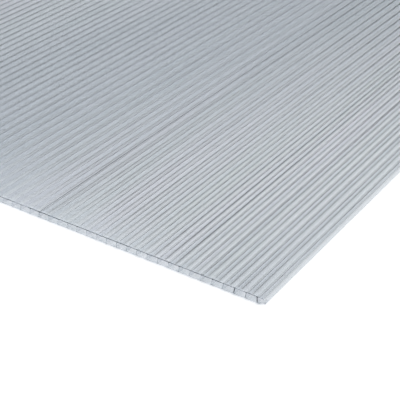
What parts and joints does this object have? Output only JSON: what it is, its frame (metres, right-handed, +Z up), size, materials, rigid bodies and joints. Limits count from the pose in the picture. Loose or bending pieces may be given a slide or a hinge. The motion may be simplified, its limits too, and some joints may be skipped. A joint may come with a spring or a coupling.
{
  "type": "twin-wall polycarbonate sheet",
  "caption": "Clear hollow polycarbonate glazing sheet: two thin skins joined by upright ribs in one extruded piece, sawn square at the ends and slit along the sides",
  "frame": {"origin": "centre of the sheet's underside", "axes": "X across the ribs, Y along the ribs and flutes, Z up through the thickness"},
  "size_m": [0.61, 0.61, 0.004],
  "materials": {
    "clear_polycarbonate": "clear gloss extruded polycarbonate with a faint blue-grey cast"
  },
  "bodies": {
    "root": {"twinwall_sheet": "clear_polycarbonate"}
  },
  "joints": []
}
